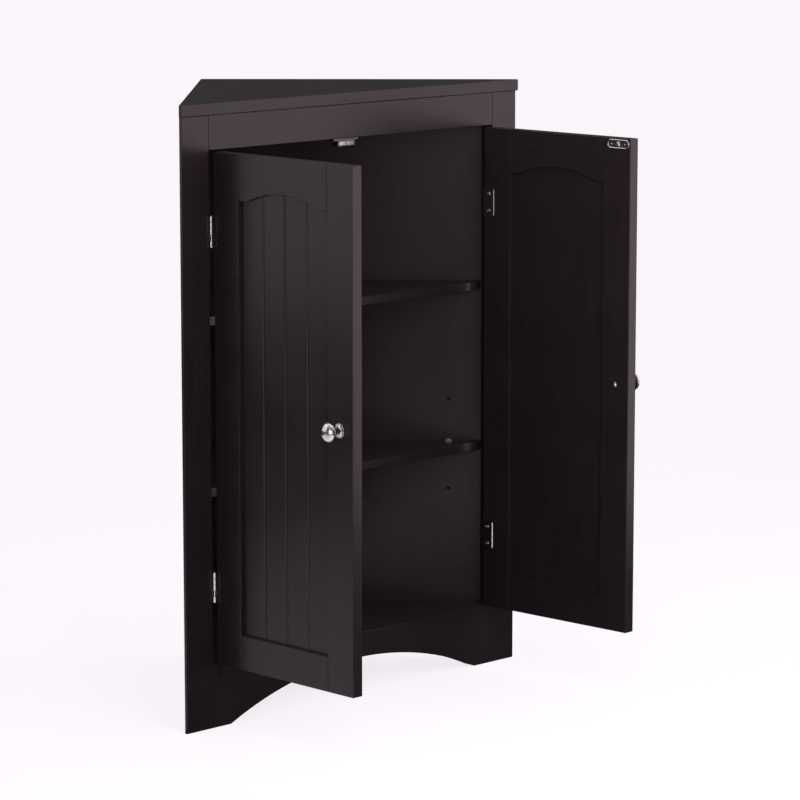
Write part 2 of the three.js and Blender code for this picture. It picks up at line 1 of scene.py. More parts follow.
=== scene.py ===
# %% [markdown]
# # A corner cupboard, dressed for its portrait
# A two-door cupboard that stands in the corner of a room: lacquered boards, planked doors on small
# hinges, turned knobs and a magnetic catch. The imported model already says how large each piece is,
# where it sits and how it moves. Here each piece is modelled again with soft edges, real fittings
# and real finishes. Everything is in metres, +Z is up and the front faces -Y.

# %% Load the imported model
import json
import math

import bpy
from mathutils import Matrix, Vector
from mathutils.geometry import interpolate_bezier


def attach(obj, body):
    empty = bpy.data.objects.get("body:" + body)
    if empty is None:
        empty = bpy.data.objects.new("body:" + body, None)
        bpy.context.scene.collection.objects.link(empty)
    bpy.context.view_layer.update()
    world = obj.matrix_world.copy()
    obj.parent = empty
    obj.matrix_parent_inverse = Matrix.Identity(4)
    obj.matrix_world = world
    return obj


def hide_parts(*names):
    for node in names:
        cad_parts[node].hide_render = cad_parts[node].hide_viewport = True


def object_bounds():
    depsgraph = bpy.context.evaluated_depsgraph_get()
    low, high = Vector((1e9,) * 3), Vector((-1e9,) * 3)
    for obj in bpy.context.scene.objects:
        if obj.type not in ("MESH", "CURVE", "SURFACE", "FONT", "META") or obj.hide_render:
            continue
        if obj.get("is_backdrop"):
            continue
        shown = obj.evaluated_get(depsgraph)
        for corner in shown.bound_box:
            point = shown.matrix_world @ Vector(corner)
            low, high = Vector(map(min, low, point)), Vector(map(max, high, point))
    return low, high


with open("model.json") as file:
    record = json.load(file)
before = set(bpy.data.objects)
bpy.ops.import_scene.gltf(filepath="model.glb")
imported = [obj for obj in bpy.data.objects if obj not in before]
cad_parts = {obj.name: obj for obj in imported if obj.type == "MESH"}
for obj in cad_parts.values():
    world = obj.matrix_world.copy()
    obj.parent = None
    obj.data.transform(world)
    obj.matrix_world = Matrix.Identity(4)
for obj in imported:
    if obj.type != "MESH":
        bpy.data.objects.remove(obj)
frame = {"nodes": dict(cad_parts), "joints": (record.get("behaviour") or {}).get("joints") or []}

cad_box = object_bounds()
nodes = frame["nodes"]
joints = {joint["name"]: joint for joint in frame["joints"]}
bpy.ops.object.select_all(action="DESELECT")
print("nodes:", len(nodes), "joints:", list(joints))

# %% [markdown]
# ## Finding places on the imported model
# A door is easiest to model shut, square to the room, and then swung open. Its joint says where the
# hinge pins stand and how far the door is from shut, so one matrix carries a shut door's piece to
# its place at rest. The same idea serves the shelf clips, which stand at 45 degrees to the front.
# `box_in` measures a node in such a turned frame, so that each piece gets its true size.

# %% Frames for the doors and boxes measured in them
MM = 0.001
NEAR = 1e-5
X, Y, Z = range(3)
SIDES = {"left": -1, "right": 1}
HERE = Matrix.Identity(4)


def door_frame(side):
    """Carries a piece of the shut door to where the open door stands at rest."""
    joint = joints[f"{side}_door_hinge"]
    pin, degrees = Vector(joint["pos_m"]), -joint["axis"][Z] * joint["range_deg"][0]
    turn = Matrix.Rotation(math.radians(degrees), 4, "Z")
    return Matrix.Translation(pin) @ turn @ Matrix.Translation(-pin)


def box_in(node, place=HERE):
    """A node's lowest and highest corners, measured in the frame of a place."""
    back = place.inverted()
    points = [back @ vertex.co for vertex in nodes[node].data.vertices]
    return Vector(map(min, zip(*points))), Vector(map(max, zip(*points)))


def mm(*lengths):
    """Lengths in millimetres, rounded to be printed."""
    return [round(length / MM, 2) for length in lengths]


doors = {side: door_frame(side) for side in SIDES}
for side in SIDES:
    low, high = box_in(f"{side}_door_panel", doors[side])
    print(side, "panel, door shut, mm:", mm(*(high - low)))

# %% [markdown]
# ## A small workshop of helpers
# Boards start as a cube that is drawn out to size, sawn at an angle by bisecting the mesh, eased
# with a bevel along every sharp edge, and drilled or grooved by subtracting a cutter. Round things
# are a profile that is extruded point by point and spun. These are the moves of a real workshop, so
# the meshes come out with the edges and flats that the real pieces have.

# %% Selecting, and going in and out of edit mode
def only(piece):
    """Makes one object the selected and active one."""
    bpy.ops.object.select_all(action="DESELECT")
    piece.select_set(True)
    bpy.context.view_layer.objects.active = piece


def just_made(name):
    """The object that the last step added, which is selected and active, under a name."""
    bpy.context.object.name = name
    return bpy.context.object


def object_mode():
    bpy.ops.object.mode_set(mode="OBJECT")


def close_up():
    """Merges doubled points, turns all faces outward and leaves edit mode."""
    bpy.ops.mesh.select_all(action="SELECT")
    bpy.ops.mesh.remove_doubles(threshold=NEAR)
    bpy.ops.mesh.normals_make_consistent(inside=False)
    object_mode()


def pick(piece, kind, test):
    """Goes into edit mode with only the faces or edges selected whose points pass a test."""
    only(piece)
    bpy.ops.object.mode_set(mode="EDIT")
    bpy.ops.mesh.select_mode(type=kind)
    bpy.ops.mesh.select_all(action="DESELECT")
    object_mode()
    mesh = piece.data
    for part in {"FACE": mesh.polygons, "EDGE": mesh.edges}[kind]:
        part.select = test([mesh.vertices[i].co for i in part.vertices])
    bpy.ops.object.mode_set(mode="EDIT")


def within(axis, low, high):
    """A test for points that all lie in a stretch along an axis."""
    return lambda points: all(low - NEAR < point[axis] < high + NEAR for point in points)


def on(axis, value):
    """A test for points that all lie at one place along an axis."""
    return within(axis, value, value)


def both(first, second):
    return lambda points: first(points) and second(points)


def either(first, second):
    return lambda points: first(points) or second(points)


def modify(piece, kind, **settings):
    """Gives a piece a modifier and applies it."""
    only(piece)
    modifier = piece.modifiers.new("workshop", kind)
    for key, value in settings.items():
        setattr(modifier, key, value)
    bpy.ops.object.modifier_apply(modifier=modifier.name)


def discard(piece):
    mesh = piece.data
    bpy.data.objects.remove(piece)
    bpy.data.meshes.remove(mesh)


# %% Boards: a drawn-out cube, saw cuts and eased edges
def board(name, low, high):
    """A cube drawn out between two corners, with its place in its mesh."""
    low, high = Vector(low), Vector(high)
    bpy.ops.mesh.primitive_cube_add(size=1, location=(low + high) / 2, scale=high - low)
    bpy.ops.object.transform_apply(location=True, rotation=True, scale=True)
    return just_made(name)


def saw(piece, point, outward, off=True):
    """Cuts along a plane. The side that outward points to falls off, and the cut is closed."""
    pick(piece, "FACE", lambda points: True)
    bpy.ops.mesh.bisect(plane_co=point, plane_no=outward, use_fill=off, clear_outer=off)
    object_mode()


def score(piece, axis, at):
    """Draws a line round a piece, so that it can differ on either side of the line."""
    point, across = Vector(), Vector()
    point[axis], across[axis] = at, 1
    saw(piece, point, across, off=False)


SHARP_ABOVE = math.radians(35)
CRISP_SHARE = 0.4  # an edge that meets another piece in a flush joint is rounded this much


def ease(piece, radius, steps=3, joint=None):
    """Rounds every sharp edge by its bevel weight. Edges that pass the joint test stay crisp."""
    pick(piece, "EDGE", lambda points: False)
    bpy.ops.mesh.edges_select_sharp(sharpness=SHARP_ABOVE)
    bpy.ops.transform.edge_bevelweight(value=1)
    object_mode()
    if joint:
        pick(piece, "EDGE", joint)
        bpy.ops.transform.edge_bevelweight(value=CRISP_SHARE - 1)
        object_mode()
    modify(piece, "BEVEL", width=radius, segments=steps, limit_method="WEIGHT")


def round_corners(piece, test, radius, steps=8):
    """Rounds chosen corners of a plate by bevelling the edges that pass through it."""
    pick(piece, "EDGE", test)
    bpy.ops.mesh.bevel(offset=radius, offset_type="OFFSET", segments=steps, affect="EDGES")
    close_up()


# %% Joining and subtracting
def combine(piece, other, operation):
    """Joins or subtracts another object, which is then thrown away."""
    modify(piece, "BOOLEAN", object=other, operation=operation, solver="EXACT")
    discard(other)


def cut(piece, cutter):
    combine(piece, cutter, "DIFFERENCE")


def weld(piece, *others):
    for other in others:
        combine(piece, other, "UNION")


# %% Round pieces: a profile spun about an axis, and copies that are set in place
def turned(name, profile, steps=32):
    """Extrudes a vertex along (radius, height) points and spins the line about the Z axis."""
    bpy.ops.mesh.primitive_plane_add(size=1)
    piece = just_made(name)
    bpy.ops.object.mode_set(mode="EDIT")
    bpy.ops.mesh.select_mode(type="VERT")
    bpy.ops.mesh.merge(type="CENTER")
    bpy.ops.transform.translate(value=(profile[0][0], 0, profile[0][1]))
    for (radius, height), (next_radius, next_height) in zip(profile, profile[1:]):
        step = {"value": (next_radius - radius, 0, next_height - height)}
        bpy.ops.mesh.extrude_region_move(TRANSFORM_OT_translate=step)
    bpy.ops.mesh.select_all(action="SELECT")
    bpy.ops.mesh.spin(steps=steps, angle=2 * math.pi, center=(0, 0, 0), axis=(0, 0, 1))
    close_up()
    return piece


def rod(name, radius, start, end):
    """A round bar along Z between two heights, used as a peg and as a drill."""
    return turned(name, [(0, start), (radius, start), (radius, end), (0, end)])


def spread(start, end, count):
    """Evenly spaced values, with both ends."""
    return [start + (end - start) * i / count for i in range(count + 1)]


def arc(centre, radius, start, end, steps):
    """Points of a round stretch of a profile, with angles in degrees."""
    turns = [math.radians(turn) for turn in spread(start, end, steps)]
    return [(centre[0] + radius * math.cos(t), centre[1] + radius * math.sin(t)) for t in turns]


def move(piece, matrix):
    """Sets a piece in place by moving its mesh, so that its object stays at the origin."""
    piece.data.transform(matrix)
    if matrix.determinant() < 0:
        piece.data.flip_normals()
    return piece


def twin(piece, name, matrix):
    """A copy with its own mesh, set in another place."""
    copy = piece.copy()
    copy.data = piece.data.copy()
    copy.name = name
    bpy.context.scene.collection.objects.link(copy)
    return move(copy, matrix)


def standing_on(place, direction):
    """The matrix that points +Z along a direction and puts the origin at a place."""
    turn = Vector(direction).to_track_quat("Z", "Y")
    return Matrix.Translation(place) @ turn.to_matrix().to_4x4()


# %% Handing a finished piece to the frame
SMOOTH_BELOW = math.radians(38)


def show(piece, finish, *replaced, body="cabinet"):
    """Shades a piece with flat faces kept flat, finishes it and puts it in place of its nodes."""
    only(piece)
    bpy.ops.object.shade_smooth_by_angle(angle=SMOOTH_BELOW)
    modify(piece, "WEIGHTED_NORMAL", keep_sharp=True)
    material, slot = finish
    piece.data.materials.clear()
    piece.data.materials.append(material)
    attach(piece, body)
    if replaced:
        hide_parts(*replaced)


# %% [markdown]
# ## Finishes
# A colour on a screen is stored in sRGB, and Blender's sockets want linear light, so one function
# turns one into the other. Another adds a node, sets it and links it, which keeps each recipe
# readable as a list of steps. Patterns read Object coordinates, which are metres here, so each
# noise is scaled by one over the real size that it shows.

# %% Colours, nodes and materials
def linear(code):
    """An sRGB hex colour as linear red, green, blue and alpha."""
    shares = [int(code[i : i + 2], 16) / 255 for i in (0, 2, 4)]
    return (*[s / 12.92 if s <= 0.04045 else ((s + 0.055) / 1.055) ** 2.4 for s in shares], 1)


def feed(node, inputs):
    """Sets a node's inputs. A value that is a socket is linked, and any other is set."""
    for key, value in inputs.items():
        if isinstance(value, bpy.types.NodeSocket):
            node.id_data.links.new(value, node.inputs[key])
        else:
            node.inputs[key].default_value = value


def add_node(tree, kind, inputs, **settings):
    made = tree.nodes.new(kind)
    for key, value in settings.items():
        setattr(made, key, value)
    feed(made, inputs)
    return made


def new_material(name, **constants):
    """A material, its nodes and its shader, with constants set on the shader's own sockets."""
    material = bpy.data.materials.new(name)
    material.use_nodes = True
    shader = material.node_tree.nodes["Principled BSDF"]
    feed(shader, {key.replace("_", " "): value for key, value in constants.items()})
    return material, material.node_tree, shader


def coordinates(tree, kind="Object"):
    return add_node(tree, "ShaderNodeTexCoord", {}).outputs[kind]


# %% Patterns, mixed colours and relief
def pattern(tree, vector, size, detail=2.0, squeeze=(1, 1, 1)):
    """Noise whose patches are about one size across, in metres, times a squeeze along each axis."""
    scale = [1 / (size * share) for share in squeeze]
    scaled = add_node(tree, "ShaderNodeVectorMath", {0: vector, 1: scale}, operation="MULTIPLY")
    noise = {"Vector": scaled.outputs[0], "Scale": 1.0, "Detail": detail, "Roughness": 0.55}
    return add_node(tree, "ShaderNodeTexNoise", noise).outputs["Fac"]


def between(tree, value, low, high, start=0.3, end=0.7):
    """Spreads a noise, which keeps near its middle, over a range of values."""
    limits = {"Value": value, "From Min": start, "From Max": end, "To Min": low, "To Max": high}
    smooth = {"interpolation_type": "SMOOTHSTEP"}
    return add_node(tree, "ShaderNodeMapRange", limits, **smooth).outputs["Result"]


def blend(tree, factor, first, second):
    """A mix of two colours. The node's inputs 6 and 7 and its output 2 are its colours."""
    inputs = {"Factor": factor, 6: first, 7: second}
    return add_node(tree, "ShaderNodeMix", inputs, data_type="RGBA").outputs[2]


def mottled(tree, noise, first, second):
    """Two sRGB colours that change places with a noise."""
    return blend(tree, between(tree, noise, 0.0, 1.0), linear(first), linear(second))


def relief(tree, shader, height, depth, normal=None):
    """Bump of a real depth in metres, laid over another normal where there is one."""
    inputs = {"Height": height, "Distance": depth, "Strength": 1.0}
    if normal is not None:
        inputs["Normal"] = normal
    bumpy = add_node(tree, "ShaderNodeBump", inputs).outputs["Normal"]
    feed(shader, {"Normal": bumpy})
    return bumpy


# %% [markdown]
# ### Espresso lacquer on hardwood
# The boards are sprayed with a dark brown toner and a satin catalysed lacquer. The eye gets a
# near-black brown, a soft broad reflection, a faint unevenness of the toner, the ghost of the grain
# under it and the slight ripple that a spray gun leaves. The grain runs along each board, so there
# is one material for upright boards and one for each direction that level boards take.

# %% Satin espresso lacquer
GRAIN_WIDTH = 2.6 * MM  # between two lines of the figure
GRAIN_LENGTH_SHARE = 45  # a line of the figure is this much longer than the gap between lines
TONER_PATCH = 85 * MM
SPRAY_RIPPLE = 2.4 * MM  # drawn a little coarser than the real ripple, so that it shows
PORE_DEPTH = 0.018 * MM
RIPPLE_DEPTH = 0.007 * MM


def satin_lacquer(name, grain_axis, turn=0.0):
    """Lacquer with its grain along an axis, X or Z, on a board that is turned about Z."""
    optics = {"IOR": 1.5, "Specular_IOR_Level": 0.3, "Specular_Tint": linear("fff0f8")}
    material, tree, shader = new_material(name, **optics)
    place = coordinates(tree)
    turning = {"Vector": place, "Rotation": (0, 0, -math.radians(turn))}
    aligned = add_node(tree, "ShaderNodeMapping", turning).outputs["Vector"]
    squeeze = [GRAIN_LENGTH_SHARE if axis == grain_axis else 1 for axis in (X, Y, Z)]
    figure = pattern(tree, aligned, GRAIN_WIDTH, detail=3.0, squeeze=squeeze)
    toner = pattern(tree, place, TONER_PATCH, detail=1.5)
    ripple = pattern(tree, place, SPRAY_RIPPLE, detail=0.5)

    tone = mottled(tree, toner, "1f191b", "221c1e")
    figured = blend(tree, between(tree, figure, 0.0, 0.5), tone, linear("171314"))
    feed(shader, {"Base Color": figured, "Roughness": between(tree, toner, 0.26, 0.3)})
    pores = relief(tree, shader, figure, PORE_DEPTH)
    relief(tree, shader, ripple, RIPPLE_DEPTH, pores)
    return material, "lacquer"


upright = satin_lacquer("satin_lacquer_upright_grain", Z)
level = satin_lacquer("satin_lacquer_level_grain", X)
rail_finish = {}
for side in SIDES:
    swing = math.degrees(doors[side].to_euler().z)
    rail_finish[side] = satin_lacquer(f"satin_lacquer_{side}_door_rails", X, swing)
print("lacquers:", *[finish[0].name for finish in (upright, level, *rail_finish.values())])

# %% [markdown]
# ### Plated fittings
# Hinges, knobs, screws, strikes and clips are steel and zinc castings with a bright nickel plate.
# It mirrors the room, so its look comes from low roughness and from the shapes around it. Handling
# leaves faint smudges, drawn as patches of slightly higher roughness. The catch is bare zinc,
# duller and streaked along its length.

# %% Bright nickel and zinc plate
SMUDGES = 9 * MM, 3.0  # the size and detail of a pattern
PLATING_WAVE = 3 * MM, 1.0
STREAKS = 0.5 * MM, 2.0, (30, 1, 1)  # drawn coarser than the real streaks, so that they show
WAVE_DEPTH, STREAK_DEPTH = 0.004 * MM, 0.006 * MM


def plating(name, marks, colours, roughness, wave, depth):
    """Metal with marks in its colour and roughness, and waves in its surface."""
    material, tree, shader = new_material(name, Metallic=1.0)
    place = coordinates(tree)
    marks = pattern(tree, place, *marks)
    roughness = between(tree, marks, *roughness)
    feed(shader, {"Base Color": mottled(tree, marks, *colours), "Roughness": roughness})
    relief(tree, shader, pattern(tree, place, *wave), depth)
    return material


nickel_look = SMUDGES, ("d6d3cf", "c6c3c0"), (0.12, 0.22), PLATING_WAVE, WAVE_DEPTH
nickel = plating("bright_nickel_plate", *nickel_look), "polished"
zinc_look = STREAKS, ("716f6e", "625f60"), (0.28, 0.42), STREAKS, STREAK_DEPTH
zinc = plating("dull_zinc_plate", *zinc_look), "catch_metal"
print("metals:", nickel[0].name, zinc[0].name)

# %% [markdown]
# ## Carcass
# The carcass is made of 15 mm boards: a top, two sides that follow the walls, a bottom and two
# shelves, behind a 20 mm face frame. All could be flat polygons, but a sprayed board always has
# edges that are rubbed down, and those thin highlights are what makes it look like furniture. So
# each board is a cube drawn out to its node's box, sawn along the wall at 45 degrees, then eased.

# %% Top, bottom, rail, batten and stiles
EDGE = 1.0 * MM
SLAB_EDGE = 1.1 * MM
rear_tip = box_in("top_panel")[1].y


def rail_joints(piece, inner, lower, upper):
    """Scores a stile where two rails end, and gives the test for the edges that meet them."""
    score(piece, Z, lower[1])
    score(piece, Z, upper[0])
    return both(on(X, inner), either(within(Z, *lower), within(Z, *upper)))


def saw_along_walls(piece, tip):
    """Cuts off what would stand in the walls, which meet at 45 degrees to the front."""
    for sign in SIDES.values():
        saw(piece, (0, tip, 0), (sign, 1, 0))


for node, radius in (("top_panel", SLAB_EDGE), ("bottom_panel", EDGE)):
    low, high = box_in(node)
    piece = board(f"{node}_board", low, high)
    saw_along_walls(piece, high.y)
    ease(piece, radius)
    show(piece, level, node)

for node in ("top_rail", "catch_batten"):
    low, high = box_in(node)
    piece = board(f"{node}_board", low, high)
    ends = either(on(X, low.x), on(X, high.x))
    ease(piece, EDGE, joint=either(ends, on(Z, high.z)))
    show(piece, level, node)

apron_top = box_in("arched_apron")[1].z
rail_bottom = box_in("top_rail")[0].z
for side, sign in SIDES.items():
    node = f"{side}_frame_stile"
    low, high = box_in(node)
    piece = board(f"{node}_board", low, high)
    saw(piece, (0, rear_tip, 0), (sign, 1, 0))
    inner = low.x if sign > 0 else high.x
    joint = rail_joints(piece, inner, (low.z, apron_top), (rail_bottom, high.z))
    ease(piece, EDGE, joint=either(joint, on(Z, high.z)))
    show(piece, upright, node)
print("rear tip of the top, mm behind the origin:", *mm(rear_tip))

# %% [markdown]
# ## Boards with a curved edge
# The apron under the doors is cut to a long toe arch, and the upper rail of each door to a shallow
# eyebrow arch. A cutter could do both, but the edge would only be as smooth as the cutter. Instead
# a grid of one row is laid out on the front, its upper and lower points are set on the curves, and
# the whole face is extruded back to the board's thickness.

# %% A board between two curves
def curved_board(name, stations, lower, upper, front, back):
    """Sets a grid's columns at stations along X and its two rows on two curves, then extrudes."""
    columns = len(stations) - 1
    bpy.ops.mesh.primitive_grid_add(x_subdivisions=columns, y_subdivisions=1, size=1)
    piece = just_made(name)
    for vertex in piece.data.vertices:
        x = stations[round((vertex.co.x + 0.5) * columns)]
        edge = upper if vertex.co.y > 0 else lower
        vertex.co = (x, front, edge(x))
    pick(piece, "FACE", lambda points: True)
    thickness = {"value": (0, back - front, 0)}
    bpy.ops.mesh.extrude_region_move(TRANSFORM_OT_translate=thickness)
    close_up()
    return piece


def radius_over(half, rise):
    """The radius of an arch, from half its span and its rise."""
    return (half**2 + rise**2) / (2 * rise)


def arch_over(middle, half, rise):
    """Gives an arch's height at a place along it. Outside its feet the height is zero."""
    radius = radius_over(half, rise)

    def height(x):
        away = abs(x - middle)
        return 0 if away >= half else rise - radius + math.sqrt(radius**2 - away**2)

    return height


# %% The apron with its toe arch
TOE_STEPS = 72
apron = nodes["arched_apron"].data.vertices
low, high = box_in("arched_apron")
foot = min(abs(vertex.co.x) for vertex in apron if vertex.co.z < low.z + NEAR)
rise = max(vertex.co.z for vertex in apron if abs(vertex.co.x) < foot)
stations = [low.x, *spread(-foot, foot, TOE_STEPS), high.x]
toe_arch = arch_over(0, foot, rise)
piece = curved_board("arched_apron_board", stations, toe_arch, lambda x: high.z, low.y, high.y)
ease(piece, EDGE, steps=2, joint=either(on(X, low.x), on(X, high.x)))
show(piece, level, "arched_apron")
print("toe arch, mm wide and high:", mm(2 * foot, rise))

# %% [markdown]
# ## Sides and shelves
# The two side boards lie along the walls and meet at the rear. Inside, each has two columns of peg
# holes around the loose shelf, drilled for clips at a pitch that is also the shelf's travel in its
# joint. The holes are real here: a drill is spun once and subtracted at each place. The shelves
# have their front corners cut off, so that they pass the face frame when they are put in.

# %% Shelf clips' places
SHELF_ABOVE_PEG = 4 * MM


def clip_frame(side):
    """Turns +Y from the front to the inside of a wall's face."""
    return Matrix.Rotation(math.pi - SIDES[side] * math.pi / 4, 4, "Z")


clips = {
    (side, index): box_in(f"{side}_shelf_clip_{index}", clip_frame(side))
    for side in SIDES
    for index in (1, 2)
}
for (side, index), (low, high) in clips.items():
    print(side, "clip", index, "mm:", mm(*(high - low)))


def peg_point(side, index):
    """Where a clip's peg enters the wall, measured in the clip's own turned frame."""
    low, high = clips[side, index]
    wall = box_in(f"{side}_side_panel", clip_frame(side))[1].y
    shelf_top = box_in("loose_shelf")[1].z
    return Vector(((low.x + high.x) / 2, wall, shelf_top - SHELF_ABOVE_PEG))


# %% The arch under a side board
FOOT = 30 * MM  # each foot of a side board is at least this wide
OVERRUN = 1 * MM  # how far a cutter stands past what it cuts
SIDE_ARCH_STEPS = 48


def side_arch(side):
    """A cutter for the arch under a side board, in the turned frame of its wall."""
    node, back = f"{side}_side_panel", clip_frame(side).inverted()
    low, high = box_in(node, clip_frame(side))
    points = [back @ vertex.co for vertex in nodes[node].data.vertices]
    on_floor = [point.x for point in points if point.z < low.z + NEAR]
    feet = [x for x in on_floor if low.x + FOOT < x < high.x - FOOT]
    crown = max(point.z for point in points if NEAR < point.z < low.z + apron_top)
    start, end = min(feet), max(feet)
    print(side, "side arch, mm wide and high:", mm(end - start, crown))
    arch = arch_over((start + end) / 2, (end - start) / 2, crown)
    cutter = spread(start, end, SIDE_ARCH_STEPS), lambda x: -OVERRUN, arch
    return curved_board("arch_cutter", *cutter, low.y - OVERRUN, high.y + OVERRUN)


# %% Side boards, with peg holes above, at and below the clips
PEG_HOLE_RADIUS, PEG_HOLE_DEPTH = 2.6 * MM, 9 * MM
PITCH = joints["loose_shelf_lift"]["range_m"][1]
REARWARD = (0, 1, 0)

for side, sign in SIDES.items():
    node = f"{side}_side_panel"
    piece = board(f"{node}_board", *box_in(node))
    saw(piece, (0, rear_tip, 0), (sign, 1, 0))
    turn = clip_frame(side)
    low, high = box_in(node, turn)
    saw(piece, turn @ Vector((0, high.y, 0)), turn @ Vector(REARWARD))
    for x, way in ((low.x, -1), (high.x, 1)):
        if (turn @ Vector((way, 0, 0))).y > 0:
            saw(piece, turn @ Vector((x, 0, 0)), turn @ Vector((way, 0, 0)))
    cut(piece, move(side_arch(side), turn))
    ease(piece, EDGE, steps=2)
    drill = rod("drill", PEG_HOLE_RADIUS, -PEG_HOLE_DEPTH, PEG_HOLE_DEPTH)
    for index in (1, 2):
        for row in (-1, 0, 1):
            point = peg_point(side, index) + Vector((0, 0, row * PITCH))
            cut(piece, twin(drill, "bit", turn @ standing_on(point, REARWARD)))
    discard(drill)
    show(piece, upright, node)
    print(node, "mm long on the wall:", *mm(high.x - low.x))

# %% Shelves with cut-off front corners
for node, body in (("fixed_shelf", "cabinet"), ("loose_shelf", "adjustable_shelf")):
    low, high = box_in(node)
    front = [vertex.co.x for vertex in nodes[node].data.vertices if vertex.co.y < low.y + NEAR]
    piece = board(f"{node}_board", low, high)
    saw_along_walls(piece, high.y)
    for sign in SIDES.values():
        corner = Vector((sign * max(front), low.y, 0))
        side_point = Vector((sign * high.x, high.y - high.x, 0))
        along = side_point - corner
        saw(piece, corner, (sign * along.y, -abs(along.x), 0))
    ease(piece, EDGE)
    show(piece, level, node, body=body)
    print(node, "front edge mm:", *mm(2 * max(front)))

# %% [markdown]
# ## Doors
# A door is a frame of two stiles and two rails around a thin panel that floats in grooves, so that
# it can swell without splitting the frame. The panel looks like four planks because three vee
# grooves are cut down its face. Each piece is modelled with the door shut and is swung open last.

# %% Stiles with a groove along their inner edge
GROOVE_DEPTH = 6 * MM
GROOVE_CLEARANCE = 0.2 * MM


def door_box(side, part):
    return box_in(f"{side}_door_{part}", doors[side])


def show_on_door(piece, side, finish, node):
    move(piece, doors[side])
    show(piece, finish, node, body=f"{side}_door")


def groove_span(side):
    """The front and back of the grooves, which are a little wider than the panel."""
    low, high = door_box(side, "panel")
    return low.y - GROOVE_CLEARANCE, high.y + GROOVE_CLEARANCE


for side, sign in SIDES.items():
    groove_front, groove_back = groove_span(side)
    for part, inward in (("hinge_stile", -sign), ("free_stile", sign)):
        low, high = door_box(side, part)
        piece = board(f"{side}_door_{part}_board", low, high)
        inner = high.x if inward > 0 else low.x
        rail_top = door_box(side, "bottom_rail")[1].z
        shoulder = door_box(side, "arched_rail")[0].z
        joint = rail_joints(piece, inner, (low.z, rail_top), (shoulder, high.z))
        ease(piece, EDGE, joint=joint)
        across = sorted((inner - inward * GROOVE_DEPTH, inner + inward * OVERRUN))
        groove_low = (across[0], groove_front, low.z - OVERRUN)
        groove_high = (across[1], groove_back, high.z + OVERRUN)
        cut(piece, board("groove", groove_low, groove_high))
        show_on_door(piece, side, upright, f"{side}_door_{part}")
    print(side, "door thick mm:", *mm(high.y - low.y))

# %% [markdown]
# The arch over each panel is a flat shoulder, a short reverse curve, the long main curve and the
# same again. Both curves are circles about fixed centres, so the groove and the edge of the panel
# inside it follow the same centres with their radii changed by how far they lie in the rail.

# %% The eyebrow arch as a function
ARCH_RISE = 13.5 * MM
ARCH_SHOULDER = 8 * MM
ARCH_REVERSE_RADIUS = 34 * MM


def arch_of(side):
    """Gives the arch's height at a place across the door, raised into the rail by some amount."""
    hinge = door_box(side, "hinge_stile")
    free = door_box(side, "free_stile")
    left, right = sorted((hinge, free), key=lambda box: box[0].x)
    middle = (left[1].x + right[0].x) / 2
    half = (right[0].x - left[1].x) / 2
    shoulder = door_box(side, "arched_rail")[0].z
    run = half - ARCH_SHOULDER
    whole = radius_over(run, ARCH_RISE)

    def height(x, raised=0.0):
        main = whole - ARCH_REVERSE_RADIUS + raised
        reverse = ARCH_REVERSE_RADIUS - raised
        away = abs(x - middle)
        if away < run * main / (main + reverse):
            return shoulder + ARCH_RISE + raised - main + math.sqrt(main**2 - away**2)
        if away < run:
            return shoulder + raised + reverse - math.sqrt(reverse**2 - (run - away) ** 2)
        return shoulder + raised

    return middle, half, height


# %% Rails, with a groove and short tenons
ARCH_STEPS = 64

for side in SIDES:
    middle, half, arch = arch_of(side)
    groove_front, groove_back = groove_span(side)
    start, end = middle - half + GROOVE_CLEARANCE, middle + half - GROOVE_CLEARANCE
    wide = spread(start - OVERRUN, end + OVERRUN, ARCH_STEPS)
    for part in ("arched_rail", "bottom_rail"):
        low, high = door_box(side, part)
        name = f"{side}_door_{part}_board"
        if part == "arched_rail":
            stations = spread(start, end, ARCH_STEPS)
            piece = curved_board(name, stations, arch, lambda x: high.z, low.y, high.y)
            cutter = wide, lambda x: low.z - OVERRUN, lambda x: arch(x, GROOVE_DEPTH)
            groove = curved_board("groove", *cutter, groove_front, groove_back)
            tenon = low.z + GROOVE_DEPTH, high.z
        else:
            piece = board(name, (start, low.y, low.z), (end, *high[1:]))
            tenon = low.z, high.z - GROOVE_DEPTH
            groove_high = (wide[-1], groove_back, high.z + OVERRUN)
            groove = board("groove", (wide[0], groove_front, tenon[1]), groove_high)
        ease(piece, EDGE, steps=2, joint=either(on(X, start), on(X, end)))
        cut(piece, groove)
        for outer, inner in ((low.x, start + OVERRUN), (end - OVERRUN, high.x)):
            tenon_low = (outer, groove_front + GROOVE_CLEARANCE, tenon[0])
            tenon_high = (inner, groove_back - GROOVE_CLEARANCE, tenon[1])
            weld(piece, board("tenon", tenon_low, tenon_high))
        show_on_door(piece, side, rail_finish[side], f"{side}_door_{part}")
    print(side, "door arch rises mm:", *mm(arch(middle) - arch(middle - half)))

# %% Panels with vee grooves between their planks
PLANKS = 4
VEE_WIDTH, VEE_DEPTH = 3.6 * MM, 1.0 * MM
PANEL_EDGE = 0.35 * MM
PANEL_STEPS = 48

